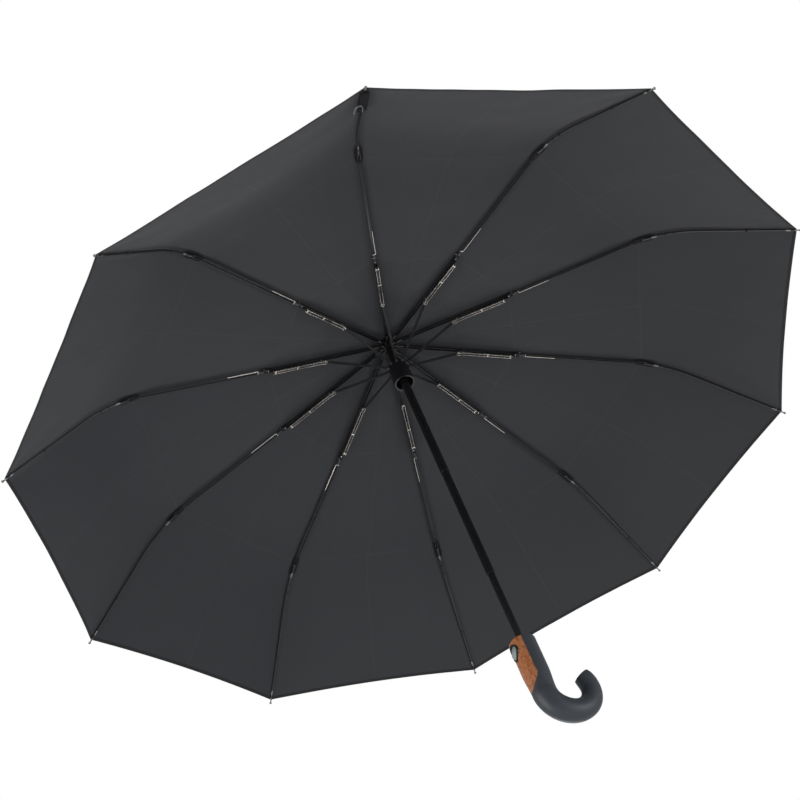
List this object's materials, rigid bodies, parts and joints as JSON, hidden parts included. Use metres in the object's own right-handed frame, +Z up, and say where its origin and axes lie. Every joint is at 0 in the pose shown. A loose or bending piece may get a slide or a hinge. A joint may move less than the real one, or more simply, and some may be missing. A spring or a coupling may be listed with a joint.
{
  "type": "folding umbrella",
  "caption": "Three-fold automatic umbrella, open: a dark dome canopy on folding ribs, a telescopic shaft and a crook handle with a wood-look inlay and a push button.",
  "frame": {"origin": "on the shaft's axis, level with the lowest point of the crook, with the umbrella open", "axes": "+Z up the shaft from the handle to the crown, +X towards the side the crook opens to"},
  "size_m": [1.047, 1.0184, 0.6472],
  "materials": {
    "soft_touch_black": "satin soft-touch",
    "burl_wood": "satin lacquered",
    "black_gloss": "gloss",
    "button_grey": "satin",
    "spring_steel": "drawn wire",
    "bright_metal": "polished",
    "black_shaft": "gloss black enamel",
    "black_nylon": "moulded satin",
    "canopy_fabric": "plain woven pongee",
    "strap_fabric": "folded ribbon",
    "black_rib": "black enamel",
    "middle_rib_metal": "black anodised",
    "tail_rib_fibreglass": "black fibreglass"
  },
  "bodies": {
    "handle": {"handle_crook": "soft_touch_black", "handle_inlay": "burl_wood", "button_bezel": "black_gloss", "handle_collar": "bright_metal", "lower_tube": "black_shaft"},
    "button": {"push_button": "button_grey", "button_spring": "spring_steel"},
    "middle_shaft": {"middle_tube": "black_shaft", "tube_catch": "bright_metal"},
    "upper_shaft": {"upper_tube": "black_shaft", "opening_spring": "spring_steel", "crown": "black_nylon", "crown_wire": "spring_steel", "top_cap": "black_nylon", "cap_seat": "black_nylon", "canopy": "canopy_fabric"},
    "top_rib_0": {"top_rib_0": "black_rib"},
    "stretcher_0": {"stretcher_0": "black_rib"},
    "middle_rib_0": {"middle_rib_0": "middle_rib_metal"},
    "tail_rib_0": {"tail_rib_0": "tail_rib_fibreglass"},
    "runner": {"runner": "black_nylon", "runner_wire": "spring_steel", "runner_ring": "bright_metal"},
    "top_rib_1": {"top_rib_1": "black_rib"},
    "stretcher_1": {"stretcher_1": "black_rib"},
    "middle_rib_1": {"middle_rib_1": "middle_rib_metal"},
    "tail_rib_1": {"tail_rib_1": "tail_rib_fibreglass"},
    "top_rib_2": {"top_rib_2": "black_rib"},
    "stretcher_2": {"stretcher_2": "black_rib"},
    "middle_rib_2": {"middle_rib_2": "middle_rib_metal"},
    "tail_rib_2": {"tail_rib_2": "tail_rib_fibreglass"},
    "top_rib_3": {"top_rib_3": "black_rib"},
    "stretcher_3": {"stretcher_3": "black_rib"},
    "middle_rib_3": {"middle_rib_3": "middle_rib_metal"},
    "tail_rib_3": {"tail_rib_3": "tail_rib_fibreglass"},
    "top_rib_4": {"top_rib_4": "black_rib"},
    "stretcher_4": {"stretcher_4": "black_rib"},
    "middle_rib_4": {"middle_rib_4": "middle_rib_metal"},
    "tail_rib_4": {"tail_rib_4": "tail_rib_fibreglass"},
    "top_rib_5": {"top_rib_5": "black_rib"},
    "stretcher_5": {"stretcher_5": "black_rib"},
    "middle_rib_5": {"middle_rib_5": "middle_rib_metal"},
    "tail_rib_5": {"tail_rib_5": "tail_rib_fibreglass"},
    "top_rib_6": {"top_rib_6": "black_rib"},
    "stretcher_6": {"stretcher_6": "black_rib"},
    "middle_rib_6": {"middle_rib_6": "middle_rib_metal"},
    "tail_rib_6": {"tail_rib_6": "tail_rib_fibreglass"},
    "top_rib_7": {"top_rib_7": "black_rib"},
    "stretcher_7": {"stretcher_7": "black_rib"},
    "middle_rib_7": {"middle_rib_7": "middle_rib_metal"},
    "tail_rib_7": {"tail_rib_7": "tail_rib_fibreglass", "closing_strap": "strap_fabric"},
    "top_rib_8": {"top_rib_8": "black_rib"},
    "stretcher_8": {"stretcher_8": "black_rib"},
    "middle_rib_8": {"middle_rib_8": "middle_rib_metal"},
    "tail_rib_8": {"tail_rib_8": "tail_rib_fibreglass"},
    "top_rib_9": {"top_rib_9": "black_rib"},
    "stretcher_9": {"stretcher_9": "black_rib"},
    "middle_rib_9": {"middle_rib_9": "middle_rib_metal"},
    "tail_rib_9": {"tail_rib_9": "tail_rib_fibreglass"}
  },
  "joints": [
    {"name": "telescope", "type": "slide", "parent": "handle", "child": "middle_shaft", "axis": [0, 0, -1], "range_m": [0, 0.0982]},
    {"name": "upper_slide", "type": "slide", "parent": "middle_shaft", "child": "upper_shaft", "axis": [0, 0, -1], "range_m": [0, 0.1685], "deforming": ["opening_spring"]},
    {"name": "button_press", "type": "slide", "parent": "handle", "child": "button", "axis": [1, 0, 0], "range_m": [0, 0.0015], "stiffness_N_per_m": 700, "springref_m": -0.0004},
    {"name": "canopy_fold", "type": "hinge", "parent": "upper_shaft", "child": "top_rib_0", "pos_m": [0.00898, -0.00063, 0.631], "axis": [0.0698, 0.9976, 0], "range_deg": [0, 72], "deforming": ["canopy"]},
    {"name": "elbow_0", "type": "hinge", "parent": "top_rib_0", "child": "stretcher_0", "pos_m": [0.10085, -0.00705, 0.60734], "axis": [0.0698, 0.9976, 0], "range_deg": [-144, 0]},
    {"name": "knee_0", "type": "hinge", "parent": "top_rib_0", "child": "middle_rib_0", "pos_m": [0.18185, -0.01272, 0.59641], "axis": [0.0698, 0.9976, 0], "range_deg": [-178, 0]},
    {"name": "outer_knee_0", "type": "hinge", "parent": "middle_rib_0", "child": "tail_rib_0", "pos_m": [0.36251, -0.02535, 0.55693], "axis": [0.0698, 0.9976, 0], "range_deg": [0, 152]},
    {"name": "runner_travel", "type": "hinge", "parent": "stretcher_0", "child": "runner", "pos_m": [0.00898, -0.00063, 0.58367], "axis": [0.0698, 0.9976, 0], "range_deg": [0, 72]},
    {"name": "top_rib_1_hinge", "type": "hinge", "parent": "upper_shaft", "child": "top_rib_1", "pos_m": [0.00763, 0.00477, 0.631], "axis": [-0.5299, 0.848, 0], "range_deg": [0, 72]},
    {"name": "elbow_1", "type": "hinge", "parent": "top_rib_1", "child": "stretcher_1", "pos_m": [0.08573, 0.05357, 0.60734], "axis": [-0.5299, 0.848, 0], "range_deg": [-144, 0]},
    {"name": "knee_1", "type": "hinge", "parent": "top_rib_1", "child": "middle_rib_1", "pos_m": [0.1546, 0.0966, 0.59641], "axis": [-0.5299, 0.848, 0], "range_deg": [-178, 0]},
    {"name": "outer_knee_1", "type": "hinge", "parent": "middle_rib_1", "child": "tail_rib_1", "pos_m": [0.30817, 0.19257, 0.55693], "axis": [-0.5299, 0.848, 0], "range_deg": [0, 152]},
    {"name": "top_rib_2_hinge", "type": "hinge", "parent": "upper_shaft", "child": "top_rib_2", "pos_m": [0.00337, 0.00834, 0.631], "axis": [-0.9272, 0.3746, 0], "range_deg": [0, 72]},
    {"name": "elbow_2", "type": "hinge", "parent": "top_rib_2", "child": "stretcher_2", "pos_m": [0.03787, 0.09373, 0.60734], "axis": [-0.9272, 0.3746, 0], "range_deg": [-144, 0]},
    {"name": "knee_2", "type": "hinge", "parent": "top_rib_2", "child": "middle_rib_2", "pos_m": [0.06829, 0.16902, 0.59641], "axis": [-0.9272, 0.3746, 0], "range_deg": [-178, 0]},
    {"name": "outer_knee_2", "type": "hinge", "parent": "middle_rib_2", "child": "tail_rib_2", "pos_m": [0.13613, 0.33693, 0.55693], "axis": [-0.9272, 0.3746, 0], "range_deg": [0, 152]},
    {"name": "top_rib_3_hinge", "type": "hinge", "parent": "upper_shaft", "child": "top_rib_3", "pos_m": [-0.00218, 0.00873, 0.631], "axis": [-0.9703, -0.2419, 0], "range_deg": [0, 72]},
    {"name": "elbow_3", "type": "hinge", "parent": "top_rib_3", "child": "stretcher_3", "pos_m": [-0.02446, 0.09809, 0.60734], "axis": [-0.9703, -0.2419, 0], "range_deg": [-144, 0]},
    {"name": "knee_3", "type": "hinge", "parent": "top_rib_3", "child": "middle_rib_3", "pos_m": [-0.0441, 0.17688, 0.59641], "axis": [-0.9703, -0.2419, 0], "range_deg": [-178, 0]},
    {"name": "outer_knee_3", "type": "hinge", "parent": "middle_rib_3", "child": "tail_rib_3", "pos_m": [-0.08791, 0.3526, 0.55693], "axis": [-0.9703, -0.2419, 0], "range_deg": [0, 152]},
    {"name": "top_rib_4_hinge", "type": "hinge", "parent": "upper_shaft", "child": "top_rib_4", "pos_m": [-0.00689, 0.00579, 0.631], "axis": [-0.6428, -0.766, 0], "range_deg": [0, 72]},
    {"name": "elbow_4", "type": "hinge", "parent": "top_rib_4", "child": "stretcher_4", "pos_m": [-0.07744, 0.06498, 0.60734], "axis": [-0.6428, -0.766, 0], "range_deg": [-144, 0]},
    {"name": "knee_4", "type": "hinge", "parent": "top_rib_4", "child": "middle_rib_4", "pos_m": [-0.13965, 0.11718, 0.59641], "axis": [-0.6428, -0.766, 0], "range_deg": [-178, 0]},
    {"name": "outer_knee_4", "type": "hinge", "parent": "middle_rib_4", "child": "tail_rib_4", "pos_m": [-0.27837, 0.23358, 0.55693], "axis": [-0.6428, -0.766, 0], "range_deg": [0, 152]},
    {"name": "top_rib_5_hinge", "type": "hinge", "parent": "upper_shaft", "child": "top_rib_5", "pos_m": [-0.00898, 0.00063, 0.631], "axis": [-0.0698, -0.9976, 0], "range_deg": [0, 72]},
    {"name": "elbow_5", "type": "hinge", "parent": "top_rib_5", "child": "stretcher_5", "pos_m": [-0.10085, 0.00705, 0.60734], "axis": [-0.0698, -0.9976, 0], "range_deg": [-144, 0]},
    {"name": "knee_5", "type": "hinge", "parent": "top_rib_5", "child": "middle_rib_5", "pos_m": [-0.18185, 0.01272, 0.59641], "axis": [-0.0698, -0.9976, 0], "range_deg": [-178, 0]},
    {"name": "outer_knee_5", "type": "hinge", "parent": "middle_rib_5", "child": "tail_rib_5", "pos_m": [-0.36251, 0.02535, 0.55693], "axis": [-0.0698, -0.9976, 0], "range_deg": [0, 152]},
    {"name": "top_rib_6_hinge", "type": "hinge", "parent": "upper_shaft", "child": "top_rib_6", "pos_m": [-0.00763, -0.00477, 0.631], "axis": [0.5299, -0.848, 0], "range_deg": [0, 72]},
    {"name": "elbow_6", "type": "hinge", "parent": "top_rib_6", "child": "stretcher_6", "pos_m": [-0.08573, -0.05357, 0.60734], "axis": [0.5299, -0.848, 0], "range_deg": [-144, 0]},
    {"name": "knee_6", "type": "hinge", "parent": "top_rib_6", "child": "middle_rib_6", "pos_m": [-0.1546, -0.0966, 0.59641], "axis": [0.5299, -0.848, 0], "range_deg": [-178, 0]},
    {"name": "outer_knee_6", "type": "hinge", "parent": "middle_rib_6", "child": "tail_rib_6", "pos_m": [-0.30817, -0.19257, 0.55693], "axis": [0.5299, -0.848, 0], "range_deg": [0, 152]},
    {"name": "top_rib_7_hinge", "type": "hinge", "parent": "upper_shaft", "child": "top_rib_7", "pos_m": [-0.00337, -0.00834, 0.631], "axis": [0.9272, -0.3746, 0], "range_deg": [0, 72]},
    {"name": "elbow_7", "type": "hinge", "parent": "top_rib_7", "child": "stretcher_7", "pos_m": [-0.03787, -0.09373, 0.60734], "axis": [0.9272, -0.3746, 0], "range_deg": [-144, 0]},
    {"name": "knee_7", "type": "hinge", "parent": "top_rib_7", "child": "middle_rib_7", "pos_m": [-0.06829, -0.16902, 0.59641], "axis": [0.9272, -0.3746, 0], "range_deg": [-178, 0]},
    {"name": "outer_knee_7", "type": "hinge", "parent": "middle_rib_7", "child": "tail_rib_7", "pos_m": [-0.13613, -0.33693, 0.55693], "axis": [0.9272, -0.3746, 0], "range_deg": [0, 152]},
    {"name": "top_rib_8_hinge", "type": "hinge", "parent": "upper_shaft", "child": "top_rib_8", "pos_m": [0.00218, -0.00873, 0.631], "axis": [0.9703, 0.2419, 0], "range_deg": [0, 72]},
    {"name": "elbow_8", "type": "hinge", "parent": "top_rib_8", "child": "stretcher_8", "pos_m": [0.02446, -0.09809, 0.60734], "axis": [0.9703, 0.2419, 0], "range_deg": [-144, 0]},
    {"name": "knee_8", "type": "hinge", "parent": "top_rib_8", "child": "middle_rib_8", "pos_m": [0.0441, -0.17688, 0.59641], "axis": [0.9703, 0.2419, 0], "range_deg": [-178, 0]},
    {"name": "outer_knee_8", "type": "hinge", "parent": "middle_rib_8", "child": "tail_rib_8", "pos_m": [0.08791, -0.3526, 0.55693], "axis": [0.9703, 0.2419, 0], "range_deg": [0, 152]},
    {"name": "top_rib_9_hinge", "type": "hinge", "parent": "upper_shaft", "child": "top_rib_9", "pos_m": [0.00689, -0.00579, 0.631], "axis": [0.6428, 0.766, 0], "range_deg": [0, 72]},
    {"name": "elbow_9", "type": "hinge", "parent": "top_rib_9", "child": "stretcher_9", "pos_m": [0.07744, -0.06498, 0.60734], "axis": [0.6428, 0.766, 0], "range_deg": [-144, 0]},
    {"name": "knee_9", "type": "hinge", "parent": "top_rib_9", "child": "middle_rib_9", "pos_m": [0.13965, -0.11718, 0.59641], "axis": [0.6428, 0.766, 0], "range_deg": [-178, 0]},
    {"name": "outer_knee_9", "type": "hinge", "parent": "middle_rib_9", "child": "tail_rib_9", "pos_m": [0.27837, -0.23358, 0.55693], "axis": [0.6428, 0.766, 0], "range_deg": [0, 152]}
  ],
  "couplings": [
    {"joint": "upper_slide", "follows": "telescope", "ratio": 1.7159},
    {"joint": "elbow_0", "follows": "canopy_fold", "ratio": -2},
    {"joint": "knee_0", "follows": "canopy_fold", "ratio": -2.4722},
    {"joint": "outer_knee_0", "follows": "canopy_fold", "ratio": 2.1111},
    {"joint": "runner_travel", "follows": "canopy_fold", "ratio": 1},
    {"joint": "top_rib_1_hinge", "follows": "canopy_fold", "ratio": 1},
    {"joint": "elbow_1", "follows": "canopy_fold", "ratio": -2},
    {"joint": "knee_1", "follows": "canopy_fold", "ratio": -2.4722},
    {"joint": "outer_knee_1", "follows": "canopy_fold", "ratio": 2.1111},
    {"joint": "top_rib_2_hinge", "follows": "canopy_fold", "ratio": 1},
    {"joint": "elbow_2", "follows": "canopy_fold", "ratio": -2},
    {"joint": "knee_2", "follows": "canopy_fold", "ratio": -2.4722},
    {"joint": "outer_knee_2", "follows": "canopy_fold", "ratio": 2.1111},
    {"joint": "top_rib_3_hinge", "follows": "canopy_fold", "ratio": 1},
    {"joint": "elbow_3", "follows": "canopy_fold", "ratio": -2},
    {"joint": "knee_3", "follows": "canopy_fold", "ratio": -2.4722},
    {"joint": "outer_knee_3", "follows": "canopy_fold", "ratio": 2.1111},
    {"joint": "top_rib_4_hinge", "follows": "canopy_fold", "ratio": 1},
    {"joint": "elbow_4", "follows": "canopy_fold", "ratio": -2},
    {"joint": "knee_4", "follows": "canopy_fold", "ratio": -2.4722},
    {"joint": "outer_knee_4", "follows": "canopy_fold", "ratio": 2.1111},
    {"joint": "top_rib_5_hinge", "follows": "canopy_fold", "ratio": 1},
    {"joint": "elbow_5", "follows": "canopy_fold", "ratio": -2},
    {"joint": "knee_5", "follows": "canopy_fold", "ratio": -2.4722},
    {"joint": "outer_knee_5", "follows": "canopy_fold", "ratio": 2.1111},
    {"joint": "top_rib_6_hinge", "follows": "canopy_fold", "ratio": 1},
    {"joint": "elbow_6", "follows": "canopy_fold", "ratio": -2},
    {"joint": "knee_6", "follows": "canopy_fold", "ratio": -2.4722},
    {"joint": "outer_knee_6", "follows": "canopy_fold", "ratio": 2.1111},
    {"joint": "top_rib_7_hinge", "follows": "canopy_fold", "ratio": 1},
    {"joint": "elbow_7", "follows": "canopy_fold", "ratio": -2},
    {"joint": "knee_7", "follows": "canopy_fold", "ratio": -2.4722},
    {"joint": "outer_knee_7", "follows": "canopy_fold", "ratio": 2.1111},
    {"joint": "top_rib_8_hinge", "follows": "canopy_fold", "ratio": 1},
    {"joint": "elbow_8", "follows": "canopy_fold", "ratio": -2},
    {"joint": "knee_8", "follows": "canopy_fold", "ratio": -2.4722},
    {"joint": "outer_knee_8", "follows": "canopy_fold", "ratio": 2.1111},
    {"joint": "top_rib_9_hinge", "follows": "canopy_fold", "ratio": 1},
    {"joint": "elbow_9", "follows": "canopy_fold", "ratio": -2},
    {"joint": "knee_9", "follows": "canopy_fold", "ratio": -2.4722},
    {"joint": "outer_knee_9", "follows": "canopy_fold", "ratio": 2.1111}
  ]
}
